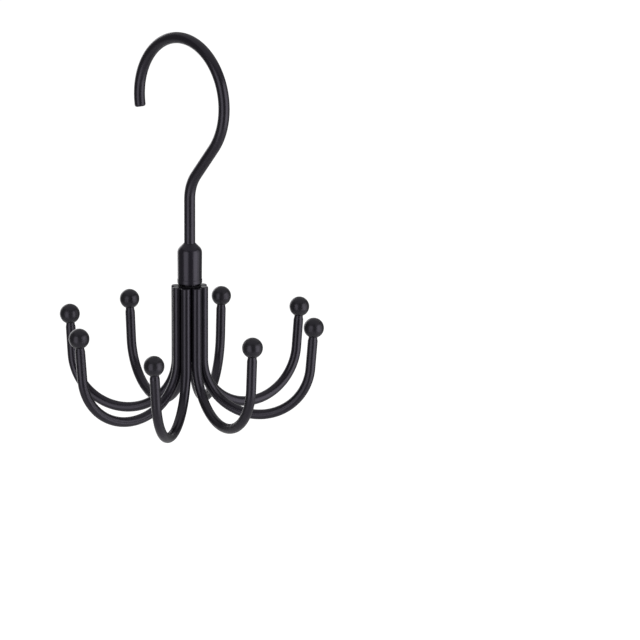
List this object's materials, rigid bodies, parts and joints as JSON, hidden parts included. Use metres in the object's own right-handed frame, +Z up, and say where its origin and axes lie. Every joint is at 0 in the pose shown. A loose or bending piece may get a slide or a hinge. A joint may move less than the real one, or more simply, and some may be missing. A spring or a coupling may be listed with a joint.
{
  "type": "tie hanger",
  "caption": "Turning tie and belt hanger: a wire hook on a domed swivel collar above a ring of upturned wire arms with ball tips.",
  "frame": {"origin": "inside of the hook's crown, the point that rests on the closet pole", "axes": "+Z up along the swivel axis, which stands 6.25 mm towards +X from the origin; the hook lies in the XZ plane with its tail at -X"},
  "size_m": [0.1339, 0.1343, 0.1988],
  "materials": {
    "coated_wire": "satin black coating on bent steel wire",
    "coated_collar": "satin black coating on a turned steel collar",
    "coated_weld": "rough weld bead under the black coating",
    "ball_tip": "matte black moulded plastic with a fine texture",
    "washer_steel": "bare steel washer, hidden in the collar"
  },
  "bodies": {
    "hook": {"hook": "coated_wire", "thrust_washer": "washer_steel"},
    "carousel": {"swivel_collar": "coated_collar", "core_rod": "coated_wire", "upper_weld": "coated_weld", "lower_weld": "coated_weld", "arm_1": "coated_wire", "arm_2": "coated_wire", "arm_3": "coated_wire", "arm_4": "coated_wire", "arm_5": "coated_wire", "arm_6": "coated_wire", "arm_7": "coated_wire", "arm_8": "coated_wire", "ball_1": "ball_tip", "ball_2": "ball_tip", "ball_3": "ball_tip", "ball_4": "ball_tip", "ball_5": "ball_tip", "ball_6": "ball_tip", "ball_7": "ball_tip", "ball_8": "ball_tip"}
  },
  "joints": [
    {"name": "swivel", "type": "hinge", "parent": "hook", "child": "carousel", "pos_m": [0.00625, 0, -0.1], "axis": [0, 0, 1], "continuous": true}
  ]
}
